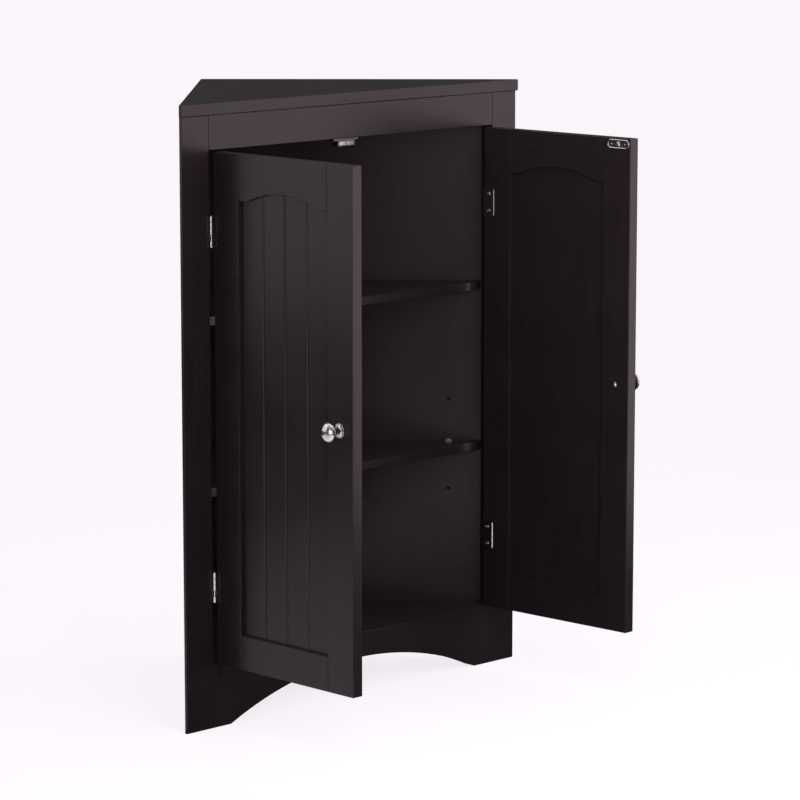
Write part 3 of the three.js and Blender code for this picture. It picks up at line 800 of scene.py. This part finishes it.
for side in SIDES:
    middle, half, arch = arch_of(side)
    low, high = door_box(side, "panel")
    vees = [middle + half * (2 * i / PLANKS - 1) for i in range(1, PLANKS)]
    lips = [x + way * VEE_WIDTH / 2 for x in vees for way in (-1, 1)]
    reach = high.z - arch(middle)
    stations = sorted([*spread(low.x, high.x, PANEL_STEPS), *lips, *vees])
    stations = [x for i, x in enumerate(stations) if i == 0 or x - stations[i - 1] > NEAR]
    outline = stations, lambda x: low.z, lambda x: arch(x, reach)
    piece = curved_board(f"{side}_door_panel_board", *outline, low.y, high.y)
    for vertex in piece.data.vertices:
        away = min(abs(vertex.co.x - x) for x in vees)
        if away < VEE_WIDTH / 2 and vertex.co.y < low.y + NEAR:
            vertex.co.y += VEE_DEPTH * (1 - 2 * away / VEE_WIDTH)
    ease(piece, PANEL_EDGE, steps=2)
    show_on_door(piece, side, upright, f"{side}_door_panel")
print("planks per door:", PLANKS)

# %% [markdown]
# ## Screws and knobs
# Screws and knobs are turned parts, so each is a profile that is spun. A domed head stands on the
# plate, and a cross is cut into it with two bars. A knob has a rounded base, a waisted neck and a
# mushroom head, drawn with curves through the sizes of its node.

# %% A cross-head screw
SLOT_WIDTH = 0.9 * MM
SLOT_DEPTH = 0.75 * MM
SLOT_SHARE = 0.6  # of the head's diameter
RIM_SHARE = 0.3  # of a domed head's height
SHANK_RADIUS, SCREW_LENGTH, TIP_LENGTH = 1.5 * MM, 11 * MM, 3 * MM


def cross_cut(piece, head_radius, floor, top):
    """Cuts a cross into a screw's head with two bars."""
    reach, half = head_radius * SLOT_SHARE, SLOT_WIDTH / 2
    for x, y in ((reach, half), (half, reach)):
        cut(piece, board("slot", (-x, -y, floor), (x, y, top)))
    return piece


def screw(name, radius, height, length=SCREW_LENGTH, shank=SHANK_RADIUS, tip=TIP_LENGTH):
    """A screw along +Z with a domed head, whose underside is at zero."""
    ball = radius_over(radius, height * (1 - RIM_SHARE))
    swing = math.degrees(math.asin(radius / ball))
    crown = arc((0, height - ball), ball, 90 - swing, 90, 7)
    profile = [(0, -length), (shank, tip - length), (shank, 0), (radius, 0)]
    piece = turned(name, [*profile, *crown[:-1], (0, height)])
    return cross_cut(piece, radius, height - SLOT_DEPTH, height + OVERRUN)


# %% Screws for wood, for the strikes and for the knobs
HEAD_RADIUS, HEAD_HEIGHT = 3 * MM, 1.4 * MM
STRIKE_DISH = 0.85 * MM  # the strike's middle lies this much below its rim
STRIKE_HEAD_HEIGHT = HEAD_HEIGHT + STRIKE_DISH
KNOB_HEAD_HEIGHT, KNOB_SHANK_RADIUS = 2.2 * MM, 2 * MM


def half_size(node):
    """Half of what a node of the left door measures along each axis, with the door shut."""
    low, high = box_in(node, doors["left"])
    return (high - low) / 2


wood_screw = screw("wood_screw", HEAD_RADIUS, HEAD_HEIGHT)
strike_head = half_size("left_strike_screw").x
strike_length = SCREW_LENGTH - STRIKE_DISH
strike_screw = screw("strike_screw", strike_head, STRIKE_HEAD_HEIGHT, strike_length)
knob_half = half_size("left_knob_screw")
knob_shank = 2 * knob_half.y - KNOB_HEAD_HEIGHT, KNOB_SHANK_RADIUS
knob_screw = screw("machine_screw", knob_half.x, KNOB_HEAD_HEIGHT, *knob_shank, tip=0)
print("knob screws, mm under the head:", *mm(knob_shank[0]))


# %% Screws in the doors and the catch
def set_screw(shape, head_height, node, place, direction):
    """A copy of a screw whose head ends where its node does."""
    low, high = box_in(node, place)
    along = Vector(direction)
    seat = (low + high) / 2 + along * (abs((high - low).dot(along)) / 2 - head_height)
    return twin(shape, f"{node}_turned", standing_on(seat, direction))


door_screws = {f"hinge_screw_{index}": (wood_screw, HEAD_HEIGHT) for index in range(1, 5)}
door_screws["strike_screw"] = strike_screw, STRIKE_HEAD_HEIGHT
door_screws["knob_screw"] = knob_screw, KNOB_HEAD_HEIGHT
for side in SIDES:
    for name, kind in door_screws.items():
        node = f"{side}_{name}"
        piece = set_screw(*kind, node, doors[side], REARWARD)
        show_on_door(piece, side, nickel, node)
    node = f"{side}_catch_screw"
    piece = set_screw(wood_screw, HEAD_HEIGHT, node, HERE, (0, 0, -1))
    show(piece, nickel, node)
for shape in (wood_screw, strike_screw, knob_screw):
    discard(shape)
print("screws on each door:", len(door_screws))

# %% Knobs
BASE_RADIUS, BASE_HEIGHT = 9 * MM, 2 * MM
NECK_RADIUS, NECK_TOP = 5 * MM, 16 * MM
UNDERSIDE, CROWN = 3.5 * MM, 6.5 * MM
KNOB_FOOT = 0.2 * MM
CURVE_POINTS = 10


def curve(*points):
    """Points of a smooth curve with two handles, without the first."""
    knots = [Vector((*point, 0)) for point in points]
    return [tuple(point[:2]) for point in interpolate_bezier(*knots, CURVE_POINTS)[1:]]


def knob_profile(head_radius):
    """A round foot, a waisted neck and a mushroom head, from the foot's middle to the crown."""
    rim, top = NECK_TOP + UNDERSIDE, NECK_TOP + UNDERSIDE + CROWN
    shoulder = BASE_RADIUS - 1.3 * MM
    waist = NECK_RADIUS * 0.88
    middle = (BASE_HEIGHT + NECK_TOP) / 2
    corner = (BASE_RADIUS, BASE_HEIGHT)
    under = (head_radius * 0.78, NECK_TOP + UNDERSIDE * 0.4)
    points = [(0, KNOB_FOOT), (BASE_RADIUS, KNOB_FOOT), (BASE_RADIUS, BASE_HEIGHT * 0.6)]
    for first, second, stop in (  # the two handles and the end of each curve
        (corner, corner, (shoulder, BASE_HEIGHT)),
        ((NECK_RADIUS, BASE_HEIGHT), (waist, BASE_HEIGHT + 2 * MM), (waist, middle)),
        ((waist, NECK_TOP - 3 * MM), (waist + 1.5 * MM, NECK_TOP - 0.6 * MM), under),
        ((head_radius * 0.97, rim - 1.6 * MM), (head_radius, rim - 0.8 * MM), (head_radius, rim)),
        ((head_radius, rim + CROWN * 0.5), (head_radius * 0.6, top), (0, top)),
    ):
        points += curve(points[-1], first, second, stop)
    return points


def centre_of(node, place=HERE):
    low, high = box_in(node, place)
    return (low + high) / 2


knob_shape = turned("knob_shape", knob_profile(half_size("left_knob").x), steps=64)
for side in SIDES:
    node = f"{side}_knob"
    low, high = box_in(node, doors[side])
    centre = centre_of(node, doors[side])
    centre.y = door_box(side, "free_stile")[0].y
    piece = twin(knob_shape, f"{node}_turned", standing_on(centre, (0, -1, 0)))
    show_on_door(piece, side, nickel, node)
discard(knob_shape)
print("knob stands off mm:", *mm(centre.y - low.y))

# %% [markdown]
# ## Hinges
# Each door hangs on two small butt hinges. A leaf is one sheet of steel: it runs along the edge of
# the door, turns on to its back and is rolled into knuckles around the pin. The leaf is drawn out
# from a plate by extruding one face, its free corners are rounded, its free edge is coined to a
# slope, and the knuckles are spun and welded on. One hinge is modelled about its pin and copied to
# all four places.

# %% Knuckles of a hinge about its own pin, for a door on its +X side
KNUCKLE_RADIUS, KNUCKLE_BORE, KNUCKLE_RIM = 2.5 * MM, 1.35 * MM, 0.35 * MM
KNUCKLE_GAP, LEAF_GAP = 0.3 * MM, 0.2 * MM
KNUCKLES = 5

pin_middle = centre_of("left_lower_hinge_pin")
leaf_low, leaf_high = box_in("left_lower_hinge_door_leaf", doors["left"])
hinge_half = (leaf_high.z - leaf_low.z) / 2
knuckle_height = (2 * hinge_half - KNUCKLE_GAP * (KNUCKLES - 1)) / KNUCKLES
leaf_start = KNUCKLE_RADIUS + KNUCKLE_GAP
print("hinge and knuckle mm high:", mm(2 * hinge_half, knuckle_height))


def knuckle(index):
    """A short barrel with rubbed-down rims, and the heights of its ends."""
    bottom = index * (knuckle_height + KNUCKLE_GAP) - hinge_half
    top = bottom + knuckle_height
    shoulder = KNUCKLE_RADIUS - KNUCKLE_RIM
    profile = [
        (KNUCKLE_BORE, bottom),
        *arc((shoulder, bottom + KNUCKLE_RIM), KNUCKLE_RIM, -90, 0, 4),
        *arc((shoulder, top - KNUCKLE_RIM), KNUCKLE_RIM, 0, 90, 4),
        (KNUCKLE_BORE, top),
        (KNUCKLE_BORE, bottom),
    ]
    return turned("knuckle", profile), bottom, top


def add_knuckles(leaf, near, far, first):
    """Welds every second barrel to a leaf, each with the tongue of sheet that was rolled."""
    for index in range(first, KNUCKLES, 2):
        barrel, bottom, top = knuckle(index)
        root = (near, (KNUCKLE_BORE + KNUCKLE_RADIUS) / 2, bottom)
        weld(leaf, board("tongue", root, (far, leaf_start + KNUCKLE_GAP, top)), barrel)
    return leaf


# %% The two leaves
LEAF, LEAF_CORNER = 0.9 * MM, 4 * MM
COIN_WIDTH, COIN_DEPTH, COINED_EDGE = 1.0 * MM, 0.8 * MM, 0.1 * MM
SHEET_EDGE = 0.2 * MM


def through(axis):
    """A test for edges that run along an axis, through a plate."""
    return lambda points: abs(points[0][axis] - points[1][axis]) > NEAR


def door_leaf():
    near, far = LEAF_GAP / 2, LEAF_GAP / 2 + LEAF
    back, reach = leaf_high.y - pin_middle.y, leaf_high.x - pin_middle.x
    leaf = board("door_leaf", (near, leaf_start, -hinge_half), (far, back, hinge_half))
    score(leaf, Y, back - LEAF)
    pick(leaf, "FACE", both(on(X, far), within(Y, back - LEAF, back)))
    wrap = {"value": (reach - far, 0, 0)}
    bpy.ops.mesh.extrude_region_move(TRANSFORM_OT_translate=wrap)
    object_mode()
    round_corners(leaf, both(on(X, reach), through(Y)), LEAF_CORNER)
    coin_start = reach - COIN_WIDTH
    score(leaf, X, coin_start)
    for vertex in leaf.data.vertices:
        if vertex.co.y > back - NEAR and vertex.co.x > coin_start:
            vertex.co.y -= COIN_DEPTH * (vertex.co.x - coin_start) / COIN_WIDTH
    ease(leaf, COINED_EDGE, steps=2)
    return add_knuckles(leaf, near, far, 1)


def frame_leaf():
    near, far = -LEAF_GAP / 2 - LEAF, -LEAF_GAP / 2
    back = box_in("left_lower_hinge_frame_leaf")[1].y - pin_middle.y
    leaf = board("frame_leaf", (near, leaf_start, -hinge_half), (far, back, hinge_half))
    round_corners(leaf, both(on(Y, back), through(X)), LEAF_CORNER)
    ease(leaf, SHEET_EDGE, steps=2)
    return add_knuckles(leaf, near, far, 0)


# %% The pin, and all four hinges
PIN_RADIUS, PIN_DOME = 1.15 * MM, 1 * MM
HINGES = [(side, f"{side}_{level}_hinge") for side in SIDES for level in ("lower", "upper")]


def hinge_pin():
    low, high = box_in("left_lower_hinge_pin")
    head, top = (high.x - low.x) / 2, (high.z - low.z) / 2
    half = top - PIN_DOME
    crown = [(head * x, half + PIN_DOME * y) for x, y in arc((0, 0), 1, 0, 90, 6)]
    upper = [(PIN_RADIUS, half), *crown[:-1], (0, top)]
    lower = [(x, -y) for x, y in reversed(upper)]
    return turned("hinge_pin", [*lower, *upper])


hinge_parts = {"door_leaf": door_leaf(), "frame_leaf": frame_leaf(), "pin": hinge_pin()}
for side, hinge in HINGES:
    mirror = Matrix.Diagonal((-SIDES[side], 1, 1, 1))
    about = Matrix.Translation(centre_of(f"{hinge}_pin")) @ mirror
    for part, shape in hinge_parts.items():
        node = f"{hinge}_{part}"
        piece = twin(shape, f"{node}_rolled", about)
        if part == "door_leaf":
            show_on_door(piece, side, nickel, node)
        else:
            show(piece, nickel, node)
for shape in hinge_parts.values():
    discard(shape)
print("hinges:", len(HINGES))

# %% [markdown]
# The frame leaf has screws too. Its face is only a hair away from the door's leaf when the door is
# shut, so these have flat heads that lie flush in the sheet.

# %% Flush screws of the frame leaves
FLUSH_RADIUS = 2.8 * MM
FLUSH_RIM, FLUSH_PROUD = 0.15 * MM, 0.05 * MM
FRAME_SCREW_SPACING = 22 * MM

tip = TIP_LENGTH - SCREW_LENGTH
shank = [(0, -SCREW_LENGTH), (SHANK_RADIUS, tip), (SHANK_RADIUS, -FLUSH_RADIUS / 2)]
head = [(FLUSH_RADIUS, -FLUSH_RIM), (FLUSH_RADIUS, FLUSH_PROUD), (0, FLUSH_PROUD)]
flush = turned("flush_screw", [*shank, *head])
cross_cut(flush, FLUSH_RADIUS, -SLOT_DEPTH, OVERRUN)
for side, hinge in HINGES:
    low, high = box_in(f"{hinge}_frame_leaf")
    pin, outward = centre_of(f"{hinge}_pin"), SIDES[side]
    for label, way in (("bottom", -1), ("top", 1)):
        height = (low.z + high.z) / 2 + way * FRAME_SCREW_SPACING / 2
        place = pin.x + outward * LEAF_GAP / 2, (pin.y + leaf_start + high.y) / 2, height
        seat = standing_on(place, (-outward, 0, 0))
        show(twin(flush, f"{hinge}_frame_screw_{label}", seat), nickel)
discard(flush)
print("flush screws:", 2 * len(HINGES))

# %% [markdown]
# ## Strike plates and the magnetic catch
# Each door carries a plated strike that the catch holds by magnet when the door is shut. A strike
# is pressed from sheet: an oval with a raised round bead along its rim, two rivet heads and one
# wide screw. Its corners are bevelled by half its height, and its face is inset in small steps that
# rise and fall again over the bead. The catch hangs under the batten: a cast block with two ears,
# and in its face two magnets under nickel-plated pole plates, which together look like one bar with
# round ends.

# %% Strike plates
STRIKE_BEAD = 2.5 * MM
BEAD_STEPS = 10
RIVET_RADIUS, RIVET_HEIGHT, RIVET_ROOT = 1.5 * MM, 0.6 * MM, 0.2 * MM
RIVET_SPACING = 22 * MM
BORE_CLEARANCE = 0.2 * MM


def round_bar(name, low, high, ends=through(Y), short=NEAR / 4, steps=12):
    """A flat bar whose ends are round, a little short of half its height."""
    bar = board(name, low, high)
    round_corners(bar, ends, (high.z - low.z) / 2 - short, steps)
    return bar


rivet_dome = arc((0, RIVET_HEIGHT - RIVET_RADIUS), RIVET_RADIUS, 40, 90, 6)
rivet_foot = [(0, -RIVET_ROOT), (rivet_dome[0][0], -RIVET_ROOT)]
rivet = turned("rivet", [*rivet_foot, *rivet_dome[:-1], (0, RIVET_HEIGHT)], steps=24)
for side in SIDES:
    node = f"{side}_strike_plate"
    low, high = box_in(node, doors[side])
    sheet = high.y - STRIKE_DISH
    piece = round_bar(f"{node}_pressed", low, Vector((high.x, sheet, high.z)))
    pick(piece, "FACE", on(Y, sheet))
    bead = arc((0, 0), 1, 180, 0, BEAD_STEPS)
    for (x, y), (next_x, next_y) in zip(bead, bead[1:]):
        bpy.ops.mesh.inset(thickness=STRIKE_BEAD / 2 * (next_x - x))
        bpy.ops.transform.translate(value=(0, STRIKE_DISH * (next_y - y), 0))
    object_mode()
    middle = (low + high) / 2
    middle.y = sheet
    bore = rod("bore", SHANK_RADIUS + BORE_CLEARANCE, -2 * OVERRUN, OVERRUN)
    cut(piece, move(bore, standing_on(middle, REARWARD)))
    for end in (-1, 1):
        place = middle + Vector((end * RIVET_SPACING / 2, 0, 0))
        weld(piece, twin(rivet, "rivet_head", standing_on(place, REARWARD)))
    show_on_door(piece, side, nickel, node)
discard(rivet)
print("strike plate mm:", mm(*(high - low)))

# %% Catch and magnets
FLANGE = 4.8 * MM
FLANGE_CORNER = 1.5 * MM
FLANGE_SETBACK = 0.3 * MM
BODY_WIDTH = 31 * MM
BODY_EDGE, EAR_EDGE, MAGNET_EDGE = 0.5 * MM, 0.4 * MM, 0.3 * MM
MAGNET_CLEARANCE = 0.15 * MM


def half_bar(name, low, high, sign):
    """A short bar whose outer end is round."""
    outer = both(on(X, high.x if sign > 0 else low.x), through(Y))
    return round_bar(name, low, high, outer, short=NEAR, steps=10)


low, high = box_in("catch_housing")
body_high = (BODY_WIDTH / 2, high.y, high.z - FLANGE / 2)
body = board("catch_body", (-BODY_WIDTH / 2, low.y, low.z), body_high)
ease(body, BODY_EDGE)
ears = board("ears", (low.x, low.y + FLANGE_SETBACK, high.z - FLANGE), high)
round_corners(ears, through(Z), FLANGE_CORNER, steps=6)
ease(ears, EAR_EDGE)
weld(body, ears)
for side, sign in SIDES.items():
    node = f"{side}_catch_magnet"
    magnet_low, magnet_high = box_in(node)
    grow = Vector([MAGNET_CLEARANCE] * 3)
    cut(body, half_bar("pocket", magnet_low - grow, magnet_high + grow, sign))
    piece = half_bar(f"{node}_bar", magnet_low, magnet_high, sign)
    ease(piece, MAGNET_EDGE)
    show(piece, nickel, node)
body.name = "catch_housing_cast"
show(body, zinc, "catch_housing")
print("catch mm:", mm(*(high - low)))

# %% [markdown]
# ## Shelf clips
# A clip is a small steel angle: a peg that goes into the wall, a plate with a round top that lies
# against the wall, and a ledge under the shelf. It is modelled in the turned frame of its wall.

# %% Clips
CLIP_PLATE, PLATE_GAP = 1.2 * MM, 0.2 * MM
PEG_RADIUS, PEG_SHORTFALL = 2.4 * MM, 0.3 * MM  # the peg ends short of the plate's face
LEDGE_CORNER = 2 * MM

for (side, index), (low, high) in clips.items():
    node = f"{side}_shelf_clip_{index}"
    wall = peg_point(side, index)
    plate_front = wall.y + PLATE_GAP
    plate_back = plate_front + CLIP_PLATE
    plate = board("plate", (low.x, plate_front, low.z), (high.x, plate_back, high.z))
    half = (high.x - low.x) / 2
    round_corners(plate, both(on(Z, high.z), through(Y)), half - NEAR, steps=10)
    ease(plate, SHEET_EDGE, steps=2)
    ledge = board("ledge", (low.x, plate_front, low.z), (high.x, high.y, low.z + CLIP_PLATE))
    round_corners(ledge, both(on(Y, high.y), through(Z)), LEDGE_CORNER, steps=6)
    ease(ledge, SHEET_EDGE, steps=2)
    peg = rod("peg", PEG_RADIUS, low.y, plate_back - PEG_SHORTFALL)
    move(peg, Matrix.Translation((wall.x, 0, wall.z)) @ Matrix.Rotation(-math.pi / 2, 4, "X"))
    weld(plate, ledge, peg)
    plate.name = f"{node}_pressed"
    move(plate, clip_frame(side))
    show(plate, nickel, node)
print("clips:", len(clips))

# %% [markdown]
# ## Studio
# Dark satin lacquer shows what it reflects much more than its own colour, so the lights are placed
# by what each face mirrors towards the camera. The front mirrors a tall soft box on the right, and
# the open left door mirrors one behind it and a white card beside it. The room is dim, with two
# lit patches of wall that the edges and the metals mirror, and a bright ceiling. A box in front
# lifts the shade inside, and reflections leave it out. The floor is a light table: it glows a
# little, which keeps shadows pale, and a wide overhead light evens it out. Its own light would
# drown the finish, so neither reflections nor the light on the cupboard take it in.

# %% Floor, and a white card on it that only reflections show
FLOOR_GLOW, CARD_GLOW = 0.85, 0.17
FLOOR_RADIUS, FLOOR_PATCH = 40, 0.4
CARD_LOW, CARD_HIGH = (-1.5, -1.4, 0), (-0.31, 0.55, 0.1 * MM)
ROOM_WHITE = linear("fdf9fe")


def pale_floor():
    glow = {"Emission_Strength": FLOOR_GLOW, "Emission_Color": ROOM_WHITE}
    material, tree, shader = new_material("pale_light_table", Roughness=0.9, **glow)
    patches = pattern(tree, coordinates(tree), FLOOR_PATCH)
    feed(shader, {"Base Color": mottled(tree, patches, "6f6c70", "6d6a6e")})
    return material


bpy.ops.mesh.primitive_circle_add(vertices=128, radius=FLOOR_RADIUS, fill_type="NGON")
floor = just_made("studio_floor")
floor.data.materials.append(pale_floor())
floor.visible_glossy = floor.visible_diffuse = False
floor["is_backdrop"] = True

card = board("bounce_card", CARD_LOW, CARD_HIGH)
glow = {"Emission_Strength": CARD_GLOW, "Emission_Color": linear("f8f7f3")}
card.data.materials.append(new_material("bounce_card", **glow)[0])
card.visible_camera = card.visible_diffuse = card.visible_shadow = False
card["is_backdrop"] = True
print("floor and card:", floor.name, card.name)

# %% Room light: white behind the object, dim walls with two lit patches, and a bright ceiling
LEFT_PATCH = (-0.98, -0.2, 0), 4.0, 0.93  # towards, glow, and the cosine where it starts
FRONT_PATCH = (-0.75, -0.66, 0), 0.6, 0.9
PATCH_FOOT_SHARE = 0.15  # of its glow that a patch keeps near the floor
ROOM_DIM, CEILING_GLOW = 0.052, 0.45
FOOT_FADE, CEILING_FADE = (-0.2, -0.04), (0.3, 0.55)  # how far up a ray points


def lit_patch(tree, ray, towards, glow, start):
    """How much a patch of the wall adds to a ray, which is most where it points at the patch."""
    facing = {0: ray, 1: towards}
    share = add_node(tree, "ShaderNodeVectorMath", facing, operation="DOT_PRODUCT")
    return between(tree, share.outputs["Value"], 0.0, glow, start, 1.0)


def calculate(tree, operation, *values):
    inputs = dict(enumerate(values))
    return add_node(tree, "ShaderNodeMath", inputs, operation=operation).outputs[0]


world = bpy.data.worlds.new("white_room")
world.use_nodes = True
tree = world.node_tree
background = tree.nodes["Background"]
direction = coordinates(tree, "Generated")
height = add_node(tree, "ShaderNodeSeparateXYZ", {"Vector": direction}).outputs["Z"]
patches = [lit_patch(tree, direction, *patch) for patch in (LEFT_PATCH, FRONT_PATCH)]
wall = calculate(tree, "ADD", *patches)
foot = between(tree, height, PATCH_FOOT_SHARE, 1.0, *FOOT_FADE)
ceiling = between(tree, height, ROOM_DIM, CEILING_GLOW, *CEILING_FADE)
room = calculate(tree, "MULTIPLY_ADD", wall, foot, ceiling)
seen = add_node(tree, "ShaderNodeLightPath", {}).outputs["Is Camera Ray"]
feed(background, {"Color": ROOM_WHITE, "Strength": calculate(tree, "MAXIMUM", seen, room)})
bpy.context.scene.world = world
print("world:", world.name)

# %% Overhead light and soft boxes
TINT = linear("fff6fb")[:3]
CEILING_STRENGTH, CEILING_ANGLE = 0.8, math.radians(60)
SOFT_BOXES = {  # place, target, width, height and radiance
    "front_right_box": ((1.0, -1.2, 1.0), (0.1, -0.3, 1.0), 1.4, 1.9, 1.75),
    "front_box": ((-0.28, -1.1, 0.8), (0.1, -0.4, 0.45), 0.8, 0.8, 5.2),
    "back_left_box": ((-1.15, 0.5, 1.26), (-0.25, -0.4, 1.26), 1.0, 1.8, 1.05),
}


def light(name, kind, place):
    bpy.ops.object.light_add(type=kind, location=place)
    made = just_made(name)
    made.data.color = TINT
    return made


def soft_box(name, place, target, width, height, radiance):
    """A lit rectangle that shines evenly. It is out of sight, so that no view shows it."""
    box = light(name, "AREA", place)
    box.data.shape, box.data.size, box.data.size_y = "RECTANGLE", width, height
    box.data.energy = radiance * math.pi * width * height
    box.visible_camera = False
    aim = Vector(target) - Vector(place)
    box.rotation_euler = aim.to_track_quat("-Z", "Y").to_euler()
    return box


overhead = light("overhead_light", "SUN", (0, 0, 3))  # as wide as a ceiling, for soft shadows
overhead.data.energy, overhead.data.angle = CEILING_STRENGTH, CEILING_ANGLE
boxes = {name: soft_box(name, *values) for name, values in SOFT_BOXES.items()}
boxes["front_box"].visible_glossy = False  # it only lifts the shade inside the cupboard
print("lights:", overhead.name, *boxes)

# %% Camera
CAMERA_PLACE = (-3.2041, -3.6367, 1.1728)
CAMERA_HEADING = 44.48  # degrees to the right of straight on
CAMERA_DROP = 9.52  # degrees below level
SENSOR_WIDTH, LENS = 36, 161.23
bpy.ops.object.camera_add(location=CAMERA_PLACE)
camera = bpy.context.object
camera.rotation_euler = (math.radians(90 - CAMERA_DROP), 0, -math.radians(CAMERA_HEADING))
camera.data.sensor_width, camera.data.lens = SENSOR_WIDTH, LENS
camera.data.clip_end = 100
bpy.context.scene.camera = camera
bpy.context.scene.view_settings.view_transform = "Standard"
print("camera at m:", CAMERA_PLACE)

# %% Sizes before and after
shown_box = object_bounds()
for name, (low, high) in (("packed", cad_box), ("shown", shown_box)):
    print("box mm,", name, mm(*(high - low)))
